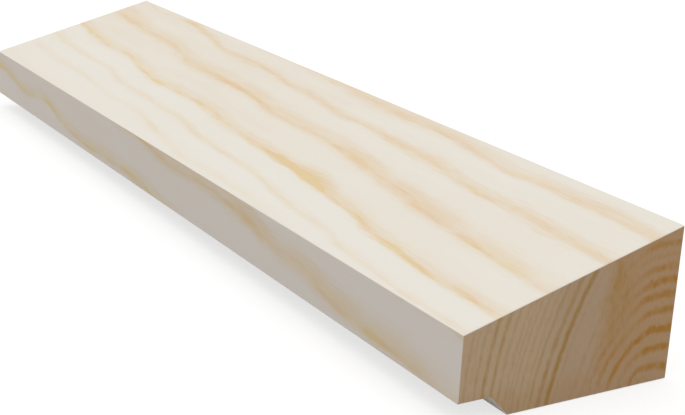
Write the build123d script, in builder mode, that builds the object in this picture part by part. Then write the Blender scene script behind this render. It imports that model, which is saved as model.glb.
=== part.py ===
from build123d import *
import os

# A length of planed pine crown moulding, made as one piece of wood.
# Its top is splayed from a tall back face down to a short front face. The underside
# is flat, and a rebate with a sloped shoulder is cut along its front edge.
#
# Millimetres. X runs along the moulding, Y from the front face to the back face and
# Z up. The origin is the middle of the base of the moulding's overall box.

# Driving dimensions
length = 350.0
width = 70.0  # front face to back face
back_height = 44.0  # base to the top edge of the back face
front_height = 18.5  # of the front face alone, from the rebate's soffit to the splay
rebate_height = 6.0  # base to the rebate's flat soffit
rebate_width = 10.0  # of the flat soffit, from the front face
shoulder_run = 6.0  # how far the rebate's sloped shoulder leans back to the base
arris_radius = 0.3  # of the eased edges along the length
cutter_radius = 0.3  # left by the cutter in the rebate's inner corner
end_easing = 0.2  # chamfer that sanding leaves round each sawn end

# Places on the section that follow from the sizes above
front = -width / 2
back = width / 2
splay_foot = rebate_height + front_height
inner_corner = (front + rebate_width, rebate_height)
shoulder_foot = front + rebate_width + shoulder_run

with BuildPart() as moulding:
    with BuildSketch(Plane.YZ.offset(-length / 2)) as section:
        with BuildLine():
            Polyline(
                (shoulder_foot, 0),
                (back, 0),
                (back, back_height),
                (front, splay_foot),
                (front, rebate_height),
                inner_corner,
                close=True,
            )
        make_face()
        # Every corner stands proud and is eased, apart from the one inside the rebate
        fillet(section.vertices().sort_by_distance(inner_corner)[1:], radius=arris_radius)
        fillet(section.vertices().sort_by_distance(inner_corner)[0], radius=cutter_radius)
    extrude(amount=length)

    # The two sawn ends are sanded just enough to take off the splinters
    sawn_ends = moulding.faces().filter_by(Axis.X)
    chamfer(sawn_ends.edges(), length=end_easing)

moulding.part.label = "crown_moulding"

os.makedirs("parts", exist_ok=True)
export_step(moulding.part, "parts/crown_moulding.step")
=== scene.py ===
import bpy
import math
from collections import namedtuple
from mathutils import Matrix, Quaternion, Vector


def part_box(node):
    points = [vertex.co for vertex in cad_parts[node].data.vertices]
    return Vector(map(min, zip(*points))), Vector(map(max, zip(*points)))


# The looks of one length of planed pine moulding, in the light of a small white studio.
# Places are in metres in the CAD frame. The grain is worked out in millimetres.

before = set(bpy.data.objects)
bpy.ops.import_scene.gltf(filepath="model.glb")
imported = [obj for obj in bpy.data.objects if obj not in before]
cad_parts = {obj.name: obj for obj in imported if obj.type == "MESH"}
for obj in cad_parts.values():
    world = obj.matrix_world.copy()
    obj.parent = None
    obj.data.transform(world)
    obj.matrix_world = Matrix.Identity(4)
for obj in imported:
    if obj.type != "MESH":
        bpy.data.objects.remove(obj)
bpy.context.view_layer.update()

# The moulding's section, read from the frame
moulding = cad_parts["crown_moulding"]
MILLIMETRE = 0.001
NEARLY_NOTHING = 0.01  # mm
low, high = (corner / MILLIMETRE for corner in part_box("crown_moulding"))
mesh_points = [vertex.co / MILLIMETRE for vertex in moulding.data.vertices]
front_top = max(point.z for point in mesh_points if point.y < low.y + NEARLY_NOTHING)
splay_slope = (high.z - front_top) / (high.y - low.y)
length = high.x - low.x

# The camera stands where the photograph was taken from
camera_place = Vector((0.43389, -0.23321, 0.15848))
camera_aim = Vector((0.0782, -0.01104, 0.02535))
camera_roll = 3.12  # degrees, anticlockwise as the camera sees it
camera_sensor = 36.0  # mm wide
camera_lens = 75.74  # mm

# Light. A colour renders about as it is written where both lights reach it in full
key_from = Vector((0.05, -0.12, 1.0))  # direction from the object to the key light
key_level = 0.28
key_spread = 70.0  # degrees across, so that shadows are soft
sky_level = 0.72
floor_size = 14.0
floor_drop = 0.0001
floor_colour = (0.37, 0.37, 0.37, 1.0)
floor_glow = 0.68  # what the camera sees added, so that the lit floor is white
white = (1.0, 1.0, 1.0, 1.0)

# Wood colours, as they show on screen from 0 to 255
PLANED = (231, 224, 211)
PLANED_WARM = (228, 218, 201)
PLANED_PALE = (233, 228, 218)
# The next colour is painted light: a rosier planed tone standing for the tint of the light on the faces in
# shade
PLANED_SHADE_TINT = (232, 221, 213)
LATEWOOD_OCHRE = (225, 202, 150)
LATEWOOD_ROSE = (225, 196, 157)
SAWN = (200, 173, 140)
SAWN_GREY = (192, 164, 133)
SAWN_WARM = (191, 155, 116)
SAWN_BROWN = (183, 144, 92)
SAWN_LATEWOOD = (174, 134, 73)
SAWN_RESIN = (179, 127, 50)

# A band of grain: its place across the face in mm, how far it takes to darken and to
# stop, and how strong it is
Band = namedtuple("Band", "at soft sharp strength")

# A stroke in a band, darker or, below 0, paler: the middle's place along the moulding and
# across the grain, and its half sizes
Stroke = namedtuple("Stroke", "at across half_length half_width strength")

# How far the grain has drifted towards the front by each place along the moulding, in mm
drift = (
    (-175, 0),
    (-146, 3.9),
    (-128, 5.0),
    (-109, 5.0),
    (-89, 8.0),
    (-68, 10.8),
    (-39, 10.4),
    (-19, 11.8),
    (0, 14.4),
    (19, 15.3),
    (44, 15.8),
    (60, 17.6),
    (78, 20.2),
    (97, 22.4),
    (110, 25.0),
    (126, 26.0),
    (146, 27.4),
    (175, 28.5),
)
drift_most = 30.0
# The grain follows that drift in full near the middle of the splay, and less of it on both sides
drift_middle = 24.0  # mm from the back edge, where nothing has drifted yet
drift_middle_share = 0.95  # how much of the drift this middle follows
drift_share = 1.04  # in the middle
drift_share_lost = 0.25  # at drift_reach mm from it, growing with the square of the distance
drift_reach = 33.0
drift_loss_most = 1.2  # times that loss, and no further

# The grain of the splay and the front face, counted from the back edge of the splay
bands = (
    Band(-11.0, 4.8, 4.8, 0.42),
    Band(0.2, 3.0, 3.5, 0.36),
    Band(14.4, 6.6, 5.4, 0.42),
    Band(31.8, 5.2, 4.1, 0.38),
    Band(44.6, 3.6, 3.4, 0.18),
    Band(55.8, 4.2, 3.8, 0.13),
    Band(69.0, 3.5, 3.0, 0.11),
)
# The darkest wood at each band's edge, which comes and goes along the moulding
cores = (
    Band(-9.8, 1.8, 2.1, 0.24),
    Band(0.5, 1.4, 1.8, 0.32),
    Band(15.2, 1.9, 2.0, 0.32),
    Band(32.4, 1.7, 2.0, 0.38),
    Band(44.8, 1.2, 1.4, 0.15),
    Band(56.2, 1.2, 1.4, 0.11),
)
core_level = 0.7  # how much of its strength such an edge has on average
core_feather = 0.4  # how ragged it is beside its band
stroke_feather = 0.6
# Single darker and paler strokes
strokes = (
    Stroke(70, -10.5, 12, 2.5, 0.16),
    Stroke(-163, 0.5, 42, 5.0, -0.45),
    Stroke(-118, -0.2, 14, 2.4, 0.35),
    Stroke(-48, 0.4, 12, 2.0, 0.18),
    Stroke(-175, 9.0, 42, 3.5, 0.30),
    Stroke(-146, 13.6, 18, 2.2, 0.18),
    Stroke(-100, 16.4, 20, 3.0, -0.10),
    Stroke(-35, 15.6, 28, 1.7, 0.40),
    Stroke(12, 15.0, 12, 2.4, -0.22),
    Stroke(69, 13.6, 18, 3.2, 0.20),
    Stroke(109, 12.4, 26, 4.6, 0.24),
    Stroke(142, 14.6, 20, 4.0, 0.12),
    Stroke(166, 14.5, 34, 5.5, -0.16),
    Stroke(-167, 32.3, 30, 2.2, 0.12),
    Stroke(-110, 32.6, 30, 3.6, -0.10),
    Stroke(34, 31.8, 28, 4.0, 0.12),
    Stroke(51, 32.9, 25, 3.0, 0.70),
    Stroke(64, 30.4, 18, 5.6, 0.56),
    Stroke(92, 29.4, 18, 4.6, 0.14),
    Stroke(101, 32.3, 14, 2.2, 0.16),
    Stroke(127, 32.8, 22, 1.9, 0.34),
    Stroke(14, 44.6, 60, 2.2, 0.10),
    Stroke(66, 46.2, 30, 1.8, 0.12),
    Stroke(-27, 56.0, 12, 1.8, 0.20),
)
# Where the bands leave that drift: the middle of each place, its half sizes and how far towards the
# back, in mm. Below 0 they move towards the front
nudges = (
    Stroke(0, -11.0, 22, 6.0, 1.8),
    Stroke(86, -11.0, 32, 6.0, -1.1),
    Stroke(76, -8.0, 26, 16.0, 1.2),
    Stroke(146, -7.0, 34, 18.0, 1.9),
    Stroke(24, -4.0, 56, 18.0, -2.0),
    Stroke(-126, 0.0, 22, 7.0, 2.8),
    Stroke(-22, 0.5, 18, 6.0, -1.2),
    Stroke(4, 1.5, 22, 6.0, 1.5),
    Stroke(68, 0.5, 20, 6.0, -0.5),
    Stroke(152, 0.5, 30, 6.0, -0.9),
    Stroke(-148, 15.0, 42, 8.0, 1.3),
    Stroke(124, 14.4, 44, 7.0, 0.5),
    Stroke(162, 15.5, 18, 7.0, -0.7),
    Stroke(178, 15.0, 18, 9.0, -1.5),
    Stroke(-96, 32.0, 14, 6.0, -1.2),
    Stroke(42, 32.0, 34, 6.0, -0.7),
    Stroke(140, 32.0, 16, 6.0, -0.7),
    Stroke(-64, 44.6, 22, 6.0, 1.5),
    Stroke(60, 44.6, 26, 6.0, -1.1),
    Stroke(-62, 56.0, 34, 10.0, 3.4),
    Stroke(18, 57.0, 36, 8.0, -1.3),
    Stroke(-120, 57.0, 60, 6.0, 1.0),
)
front_shift = 26.0  # the front face's top edge has the grain of the splay this far from its back edge
# How much higher than that the front's grain lies by each place along the moulding, in mm
front_lift = (
    (-175, 0.9),
    (-158, 1.8),
    (-146, 0.6),
    (-136, 1.2),
    (-122, 2.8),
    (-113, 2.7),
    (-99, 1.0),
    (-84, 1.3),
    (-62, 2.1),
    (-10, 1.6),
    (22, 2.5),
    (60, 2.4),
    (78, 1.4),
    (96, 2.6),
    (118, 1.0),
    (138, 1.4),
    (155, 1.9),
    (175, 0.2),
)
front_lift_most = 4.0
# How strong the front's grain is beside the splay's
front_depth = (
    (-175, 1.05),
    (-140, 1.0),
    (-112, 1.35),
    (-88, 0.95),
    (-50, 1.15),
    (0, 1.07),
    (48, 1.2),
    (72, 1.1),
    (95, 0.85),
    (118, 1.0),
    (140, 1.25),
    (163, 1.0),
    (175, 1.0),
)
front_depth_most = 1.5

# Growth rings of the section. One set closes round a heart near the back
heart_y = 28.5
heart_z = -1.0
heart_stretch = 0.45  # behind the heart a distance counts only this much, so that rings reach further
# Towards the front the rings turn down. Turned rings start turned_offset mm further out and lie
# closer together by the share turned_closer
turned_full = 0.79  # the sine of the angle from straight above the heart where the turn is complete
turned_offset = 3.0
turned_closer = 0.3
# How much of their strength the heart's rings lose: turned and far out, high up, and near the base
outer_loss = 0.4
high_loss = 0.75
base_loss = 0.7
heart_rings = (
    Band(1.4, 1.4, 1.2, 0.20),
    Band(5.6, 1.9, 1.9, 0.80),
    Band(11.0, 2.0, 1.7, 0.96),
    Band(16.3, 2.0, 1.7, 1.04),
    Band(21.7, 1.9, 1.8, 0.80),
    Band(26.2, 1.9, 1.9, 0.86),
    Band(30.1, 1.9, 1.9, 0.80),
    Band(33.9, 1.6, 1.7, 0.58),
    Band(37.3, 1.1, 1.1, 0.22),
    Band(40.6, 1.7, 1.5, 0.58),
)
# Where one of them fades on the way down: how far round, then its radius
ring_gap = Stroke(1.0, 9.6, 1.3, 5.2, 0.55)
# The other set crosses the front half in long arcs, placed by where they meet the base
cross_rings = (
    Band(-33.3, 0.8, 0.7, 0.30),
    Band(-31.9, 0.6, 0.5, 0.16),
    Band(-30.2, 0.8, 0.7, 0.32),
    Band(-27.7, 1.0, 0.8, 0.66),
    Band(-25.1, 1.0, 0.8, 0.54),
    Band(-22.8, 0.8, 0.7, 0.34),
    Band(-20.6, 0.8, 0.7, 0.26),
    Band(-19.2, 0.7, 0.6, 0.20),
    Band(-18.0, 0.7, 0.6, 0.26),
    Band(-16.1, 0.8, 0.7, 0.28),
    Band(-14.0, 0.8, 0.7, 0.22),
    Band(-12.3, 0.9, 0.8, 0.44),
    Band(-9.4, 1.2, 1.0, 0.62),
    Band(-6.6, 1.2, 1.1, 1.00),
    Band(-4.4, 0.8, 0.8, 0.16),
    Band(1.6, 1.4, 1.1, 0.20),
    Band(4.8, 1.4, 1.1, 0.20),
    Band(8.0, 1.2, 1.0, 0.25),
)
# As they rise, the arcs lean and bow towards the back, part, and grow fainter, per mm of height
arc_lean = 0.222
arc_bow = 0.0052
arc_parting = 0.0081
arc_fading = 0.009
arc_strength = 1.08
# How much of the heart's rings' unevenness they have
arc_shiver = 0.4
arc_fretting = 0.7
boundary_lean = 0.1  # of the line between the two sets, per mm of height

# Brown strands that cross the sawn ends upwards, near the middle: places are z, then y, in mm
end_strands = (
    Stroke(24.0, 15.0, 16.0, 7.0, 0.42),
    Stroke(27.0, 13.2, 13.0, 1.0, 0.50),
    Stroke(26.0, 16.9, 8.0, 0.9, 0.50),
    Stroke(33.0, 14.0, 5.0, 2.2, 0.70),
    Stroke(16.5, 14.1, 4.6, 0.9, 0.50),
)

# Where the rings have moved to at the far end, in mm
far_ring_y = 2.5
far_ring_z = -2.0

# How the colours are shared out. A share below 0 counts as 0, and one above 1 as 1
paling_level = -0.14
paling_front = 0.95  # added towards the front of the splay and on the front face
# Share of the painted shade tint, a rosier colour that stands for the light on the shaded faces
painted_shade_tint_share = 0.5  # on all planed faces but the splay
hue_level = 0.85  # of the dark bands, where 0 is ochre and 1 is rose
hue_outer_loss = 0.4  # towards the front of the splay
hue_front_loss = 0.35  # on the front face
hidden_ring_level = 0.55  # of the rings where they are cut lengthwise
fibre_size = (12.0, 0.4, 0.4)
fibre_tint = 0.07
fibre_contrast = 0.4  # in the dark bands
foot_warmth = 0.55  # of the sawn wood near the base
foot_warmth_lost = 1.5  # times that, on the heart's side
pore_tint = 0.45
pore_tint_heart = 0.15  # added on the heart's side

# Gloss and relief
planed_roughness = 0.56
latewood_polish = 0.08  # taken off where the planed wood is dark
sawn_roughness = 0.2  # added on the sawn ends
fibre_roughness = 0.04
wood_specular = 0.3
relief_depth = 0.00004  # m
planed_relief = 0.35  # of that depth
sawn_relief = 0.6

facing_least = 0.6  # how far a face's normal reaches a way, for the face to count as facing it


def light_of(colour):
    """A screen colour from 0 to 255, as the linear light that Blender's shaders use, by the sRGB rule."""
    steps = [c / 255 for c in colour]
    return tuple(s / 12.92 if s <= 0.04045 else ((s + 0.055) / 1.055) ** 2.4 for s in steps) + (1.0,)


class Value:
    """A number worked out by shader nodes. Python's signs add the nodes, so a formula reads as it is."""

    def __init__(self, tree, socket):
        self.tree = tree
        self.socket = socket

    def __add__(self, other):
        return math_node(self.tree, "ADD", self, other)

    def __radd__(self, other):
        return self + other

    def __sub__(self, other):
        return math_node(self.tree, "SUBTRACT", self, other)

    def __rsub__(self, other):
        return math_node(self.tree, "SUBTRACT", other, self)

    def __mul__(self, other):
        return math_node(self.tree, "MULTIPLY", self, other)

    def __rmul__(self, other):
        return self * other

    def __truediv__(self, other):
        return math_node(self.tree, "DIVIDE", self, other)

    def __pow__(self, other):
        return math_node(self.tree, "POWER", self, other)

    def __abs__(self):
        return math_node(self.tree, "ABSOLUTE", self)

    def __gt__(self, other):
        return math_node(self.tree, "GREATER_THAN", self, other)

    def __lt__(self, other):
        return math_node(self.tree, "LESS_THAN", self, other)

    def at_least(self, other):
        return math_node(self.tree, "MAXIMUM", self, other)

    def at_most(self, other):
        return math_node(self.tree, "MINIMUM", self, other)


def wire(tree, given, socket):
    """Feeds a socket from another node, or sets it to a plain number, vector or colour."""
    if isinstance(given, Value):
        tree.links.new(given.socket, socket)
    elif isinstance(given, bpy.types.NodeSocket):
        tree.links.new(given, socket)
    else:
        socket.default_value = given


def math_node(tree, operation, *values):
    """One step of arithmetic with plain numbers and other nodes' values."""
    node = tree.nodes.new("ShaderNodeMath")
    node.operation = operation
    for given, socket in zip(values, node.inputs):
        wire(tree, given, socket)
    return Value(tree, node.outputs[0])


def split(tree, vector):
    """The three parts of a vector."""
    node = tree.nodes.new("ShaderNodeSeparateXYZ")
    wire(tree, vector, node.inputs[0])
    return [Value(tree, part) for part in node.outputs]


def joined(tree, x, y, z):
    """A vector from its three parts."""
    node = tree.nodes.new("ShaderNodeCombineXYZ")
    for given, socket in zip((x, y, z), node.inputs):
        wire(tree, given, socket)
    return node.outputs[0]


def smooth(tree, value, start, stop):
    """0 before start, 1 after stop and a soft rise between them."""
    node = tree.nodes.new("ShaderNodeMapRange")
    node.interpolation_type = "SMOOTHSTEP"
    wire(tree, value, node.inputs["Value"])
    wire(tree, start, node.inputs["From Min"])
    wire(tree, stop, node.inputs["From Max"])
    return Value(tree, node.outputs["Result"])


def noise(tree, places, sizes, depth=1.0, detail=2.0, roughness=0.5, apart=0.0):
    """A soft random pattern from about -depth to depth, with a size in mm for each of its places.

    In fewer than three places, the number apart keeps it from being the same as another.
    """
    parts = [place / size for place, size in zip(places, sizes)]
    x, y, z = (parts + [apart, 0.0])[:3]
    node = tree.nodes.new("ShaderNodeTexNoise")
    wire(tree, joined(tree, x, y, z), node.inputs["Vector"])
    node.inputs["Scale"].default_value = 1.0
    node.inputs["Detail"].default_value = detail
    node.inputs["Roughness"].default_value = roughness
    return (Value(tree, node.outputs["Fac"]) - 0.5) * (2.0 * depth)


def mixed(tree, share, first, second):
    """first where share is 0 and second where it is 1, as a colour."""
    node = tree.nodes.new("ShaderNodeMix")
    node.data_type = "RGBA"
    node.clamp_factor = True
    # The node has a set of sockets for each kind of data: these are the share's and the colours'
    wire(tree, share, node.inputs[0])
    wire(tree, first, node.inputs[6])
    wire(tree, second, node.inputs[7])
    return node.outputs[2]


def curve(tree, value, points, reach, most=1.0):
    """A smooth curve through given points.

    reach is the lowest and highest value that it covers, and most the highest result that it can give.
    """
    node = tree.nodes.new("ShaderNodeFloatCurve")
    line = node.mapping.curves[0]
    first, last = reach
    places = [((x - first) / (last - first), y / most) for x, y in points]
    for _ in places[2:]:
        line.points.new(0.5, 0.5)
    for point, place in zip(line.points, places):
        point.location = place
        point.handle_type = "AUTO_CLAMPED"
    node.mapping.update()
    wire(tree, (value - first) / (last - first), node.inputs["Value"])
    return Value(tree, node.outputs["Value"]) * most


def banded(tree, across, rows):
    """Growth bands side by side: each darkens slowly through the summer and stops soon in the winter."""
    clear = 1.0
    points = [(rows[0].at - rows[0].soft - clear, 0.0)]
    for band in rows:
        points.append((max(band.at - band.soft, points[-1][0] + NEARLY_NOTHING), 0.0))
        points.append((band.at, band.strength))
        points.append((band.at + band.sharp, 0.0))
    points.append((points[-1][0] + clear, 0.0))
    return curve(tree, across, points, (points[0][0], points[-1][0]))


def spot(tree, along, across, stroke):
    """A soft spot, longer than it is wide, that lies along the grain."""
    lengthways = (along - stroke.at) / stroke.half_length
    sideways = (across - stroke.across) / stroke.half_width
    return (1.0 - lengthways * lengthways - sideways * sideways).at_least(0.0) * stroke.strength


def total(masks):
    """The sum of many masks. Each is added as it is made, so that few wait at once in the shader."""
    result = next(masks)
    for mask in masks:
        result = result + mask
    return result


def long_grain(tree, x, across):
    """Latewood from 0 to 1 on the splay and the front face, and the place across the grain."""
    drifted = curve(tree, x, drift, (low.x, high.x), drift_most)
    aside = abs(across - drift_middle_share * drifted - drift_middle) / drift_reach
    share = drift_share - drift_share_lost * (aside * aside).at_most(drift_loss_most)
    sway = noise(tree, (x, across), sizes=(30.0, 6.0), depth=1.4)
    feather = noise(tree, (x, across), sizes=(9.0, 0.9), depth=2.6, detail=4.0, roughness=0.6, apart=5.0)
    layer = across - share * drifted + sway
    layer = layer + total(spot(tree, x, layer, nudge) for nudge in nudges)
    grain = banded(tree, layer + feather, bands)
    fading = 1.0 + noise(tree, (x, layer), sizes=(24.0, 5.0), depth=0.9, apart=9.0)
    broken = core_level + noise(tree, (x, layer), sizes=(13.0, 2.5), depth=2.0, apart=4.0)
    edges = banded(tree, layer + feather * core_feather, cores) * broken.at_least(0.0)
    marks = total(spot(tree, x, layer + feather * stroke_feather, stroke) for stroke in strokes)
    return (grain * fading + edges + marks).at_least(0.0), layer


def ring_grain(tree, y, z):
    """Latewood from 0 to 1 in the section, by growth ring, and how far a place is on the heart's side."""
    shiver = noise(tree, (y, z), sizes=(5.0, 5.0), depth=0.9)
    fretted = noise(tree, (y, z), sizes=(0.9, 2.6), depth=0.42, detail=3.0, roughness=0.6, apart=2.0)

    # Rings round the heart
    ahead = heart_y - y
    ahead = ahead.at_least(ahead * heart_stretch)
    above = z - heart_z
    distance = (ahead * ahead + above * above) ** 0.5
    turned = smooth(tree, ahead / (distance + NEARLY_NOTHING), start=0.0, stop=turned_full)
    radius = (distance - turned_offset * turned) / (1.0 - turned_closer * turned) + shiver + fretted
    blotches = noise(tree, (y, z), sizes=(2.0, 4.0), depth=0.8, apart=12.0)
    outer = smooth(tree, radius, start=6.0, stop=32.0) * turned
    upper = smooth(tree, z, start=9.0, stop=17.0) * smooth(tree, ahead, start=2.0, stop=10.0)
    lower = (1.0 - smooth(tree, z, start=0.0, stop=5.0)) * smooth(tree, ahead, start=9.0, stop=13.0)
    around = banded(tree, radius, heart_rings) * (1.0 + blotches - spot(tree, turned, radius, ring_gap))
    around = around * (1.0 - outer_loss * outer) * (1.0 - high_loss * upper) * (1.0 - base_loss * lower)

    # Long arcs through the front half
    foot = (y - arc_lean * z - arc_bow * z * z) / (1.0 + arc_parting * z)
    foot = foot + shiver * arc_shiver + fretted * arc_fretting
    through = banded(tree, foot, cross_rings) * (arc_strength - arc_fading * z)

    side = smooth(tree, y - boundary_lean * z, start=5.0, stop=11.0)
    patches = 1.0 + noise(tree, (y, z), sizes=(3.0, 4.0), depth=0.7, apart=6.0)
    return (around * side + through * (1.0 - side)) * patches, side


def pine():
    """Planed pine along the grain and sawn pine across it, in one material."""
    material = bpy.data.materials.new("planed_pine")
    material.use_nodes = True
    tree = material.node_tree
    shader = tree.nodes["Principled BSDF"]
    places = tree.nodes.new("ShaderNodeTexCoord")
    x, y, z = [part / MILLIMETRE for part in split(tree, places.outputs["Object"])]
    facing_x, facing_y, facing_z = split(tree, places.outputs["Normal"])
    sawn = smooth(tree, abs(facing_x), start=0.75, stop=0.95)
    splay = facing_z > facing_least
    front = (facing_y < -facing_least) * (abs(facing_z) < facing_least)

    # Away from the sawn end that the photograph shows, the rings wander a little in the section
    away = (high.x - x) / length
    ring_y = y + away * (noise(tree, (x,), sizes=(90.0,), depth=6.0) + far_ring_y)
    ring_z = z + away * (noise(tree, (x,), sizes=(70.0,), depth=6.0, apart=7.0) + far_ring_z)
    rings, side = ring_grain(tree, ring_y, ring_z)

    planed_colour, latewood, fibres = planed_wood(tree, x, y, z, splay, front, rings)
    sawn_colour = sawn_wood(tree, x, y, z, rings, side)
    wire(tree, mixed(tree, sawn, planed_colour, sawn_colour), shader.inputs["Base Color"])
    roughness = planed_roughness - latewood_polish * latewood * (1.0 - sawn)
    roughness = roughness + sawn_roughness * sawn + fibre_roughness * fibres
    wire(tree, roughness, shader.inputs["Roughness"])
    shader.inputs["Specular IOR Level"].default_value = wood_specular

    relief = tree.nodes.new("ShaderNodeBump")
    relief.inputs["Strength"].default_value = 1.0
    relief.inputs["Distance"].default_value = relief_depth
    raised = noise(tree, (x, y, z), sizes=fibre_size, depth=planed_relief)
    scored = noise(tree, (y, z, x), sizes=(0.6, 6.0, 1.0), depth=sawn_relief)
    wire(tree, raised * (1.0 - sawn) + scored * sawn, relief.inputs["Height"])
    wire(tree, relief.outputs["Normal"], shader.inputs["Normal"])
    return material


def planed_wood(tree, x, y, z, splay, front, rings):
    """The colour of the faces along the grain, how much of it is latewood, and its fibres."""
    lift = curve(tree, x, front_lift, (low.x, high.x), front_lift_most)
    splay_across = (high.y - y) * math.hypot(1.0, splay_slope)
    front_across = front_shift + front_top - z + lift
    grain, layer = long_grain(tree, x, splay * splay_across + front * front_across)
    # On the front face one band starts only near the middle of the length, and another ends there
    before = 1.0 - smooth(tree, x, start=-58.0, stop=-36.0)
    before = before * (1.0 - smooth(tree, layer, start=19.0, stop=24.0))
    beyond = smooth(tree, x, start=0.0, stop=22.0) * smooth(tree, layer, start=22.0, stop=26.0)
    depth = curve(tree, x, front_depth, (low.x, high.x), front_depth_most)
    grain = grain * (1.0 - front + front * (1.0 - before - beyond) * depth)
    # The other faces are cut from the rings of the section
    shown = splay.at_least(front)
    faded = hidden_ring_level + noise(tree, (x, y, z), sizes=(40.0, 4.0, 4.0), depth=0.5)
    latewood = grain * shown + rings * faded * (1.0 - shown)

    fibres = noise(tree, (x, y, z), sizes=fibre_size, detail=3.0, roughness=0.6)
    tone = noise(tree, (x, y, z), sizes=(60.0, 7.0, 7.0), depth=0.9, detail=3.0)
    # The wood is a little paler at the front, and it grows paler towards the near end, which is painted
    # light
    paling_and_painted_light = smooth(tree, layer, start=24.0, stop=42.0) * shown * paling_front
    # x / length is painted light: the wood turns lighter towards the near end, as if lit more there
    paling_and_painted_light = paling_and_painted_light + paling_level + x / length
    base = mixed(tree, tone - paling_and_painted_light, light_of(PLANED), light_of(PLANED_WARM))
    base = mixed(tree, paling_and_painted_light - tone, base, light_of(PLANED_PALE))
    # Painted light: the faces other than the splay get a rosier tone standing for the tint of their shade
    base = mixed(tree, painted_shade_tint_share * (1.0 - splay), base, light_of(PLANED_SHADE_TINT))
    hue = hue_level + noise(tree, (x, y, z), sizes=(22.0, 6.0, 6.0), depth=1.2)
    hue = hue - hue_outer_loss * smooth(tree, layer, start=18.0, stop=34.0) - hue_front_loss * front
    dark = mixed(tree, hue, light_of(LATEWOOD_OCHRE), light_of(LATEWOOD_ROSE))
    darkness = latewood * (1.0 + fibre_contrast * fibres) + fibre_tint * fibres
    return mixed(tree, darkness, base, dark), latewood, fibres


def sawn_wood(tree, x, y, z, rings, side):
    """The colour of the sawn ends."""
    mottle = noise(tree, (y, z, x), sizes=(0.7, 2.6, 1.0), detail=3.0, roughness=0.65)
    patches = noise(tree, (y, z, x), sizes=(5.0, 9.0, 30.0), depth=0.4)
    base = mixed(tree, smooth(tree, y, start=-14.0, stop=0.0), light_of(SAWN), light_of(SAWN_GREY))
    foot = foot_warmth * (1.0 - smooth(tree, z, start=3.0, stop=10.0))
    warmth = side + foot * (1.0 - foot_warmth_lost * side) + patches
    base = mixed(tree, warmth, base, light_of(SAWN_WARM))
    waving = y + noise(tree, (x, y, z), sizes=(30.0, 12.0, 3.5), depth=2.6, detail=1.0)
    strands = total(spot(tree, z, waving, strand) for strand in end_strands)
    base = mixed(tree, strands * (1.0 + mottle), base, light_of(SAWN_BROWN))
    dark = mixed(tree, side, light_of(SAWN_LATEWOOD), light_of(SAWN_RESIN))
    return mixed(tree, rings + mottle * (pore_tint + pore_tint_heart * side), base, dark)


def seen_directly(tree):
    """1 for rays that meet the background or floor from the camera or by way of gloss or glass."""
    path = tree.nodes.new("ShaderNodeLightPath")
    camera = Value(tree, path.outputs["Is Camera Ray"])
    glossy = Value(tree, path.outputs["Is Glossy Ray"])
    glass = Value(tree, path.outputs["Is Transmission Ray"])
    return (camera + glossy + glass).at_most(1.0)


def studio():
    """A white room: an even sky, one broad key light and a pale floor."""
    world = bpy.data.worlds.new("studio")
    bpy.context.scene.world = world
    world.use_nodes = True
    tree = world.node_tree
    sky = tree.nodes["Background"]
    sky.inputs["Color"].default_value = white
    seen = seen_directly(tree)
    wire(tree, seen + (1.0 - seen) * sky_level, sky.inputs["Strength"])

    lamp = bpy.data.lights.new("key", "SUN")
    lamp.energy = key_level * math.pi
    lamp.angle = math.radians(key_spread)
    key = bpy.data.objects.new("key", lamp)
    key.rotation_mode = "QUATERNION"
    key.rotation_quaternion = key_from.to_track_quat("Z", "Y")
    bpy.context.scene.collection.objects.link(key)

    half = floor_size / 2
    corners = [(x, y, -floor_drop) for x, y in ((-half, -half), (half, -half), (half, half), (-half, half))]
    mesh = bpy.data.meshes.new("floor")
    mesh.from_pydata(corners, [], [(0, 1, 2, 3)])
    mesh.materials.append(floor_material())
    floor = bpy.data.objects.new("floor", mesh)
    bpy.context.scene.collection.objects.link(floor)


def floor_material():
    """Pale and matt, with a glow that only the camera and gloss see, so that it looks white."""
    material = bpy.data.materials.new("floor")
    material.use_nodes = True
    tree = material.node_tree
    shader = tree.nodes["Principled BSDF"]
    shader.inputs["Base Color"].default_value = floor_colour
    shader.inputs["Roughness"].default_value = 1.0
    shader.inputs["Specular IOR Level"].default_value = 0.0
    shader.inputs["Emission Color"].default_value = white
    wire(tree, seen_directly(tree) * floor_glow, shader.inputs["Emission Strength"])
    return material


def photographer():
    """The camera, at the photograph's place and angle."""
    data = bpy.data.cameras.new("camera")
    data.lens = camera_lens
    data.sensor_width = camera_sensor
    data.clip_start = 0.01
    data.clip_end = 100.0
    camera = bpy.data.objects.new("camera", data)
    level = (camera_aim - camera_place).to_track_quat("-Z", "Y")
    roll = Quaternion((0.0, 0.0, 1.0), math.radians(camera_roll))
    camera.rotation_mode = "QUATERNION"
    camera.rotation_quaternion = level @ roll
    camera.location = camera_place
    bpy.context.scene.collection.objects.link(camera)
    bpy.context.scene.camera = camera


moulding.material_slots[0].material = pine()
studio()
photographer()
bpy.context.scene.view_settings.view_transform = "Standard"
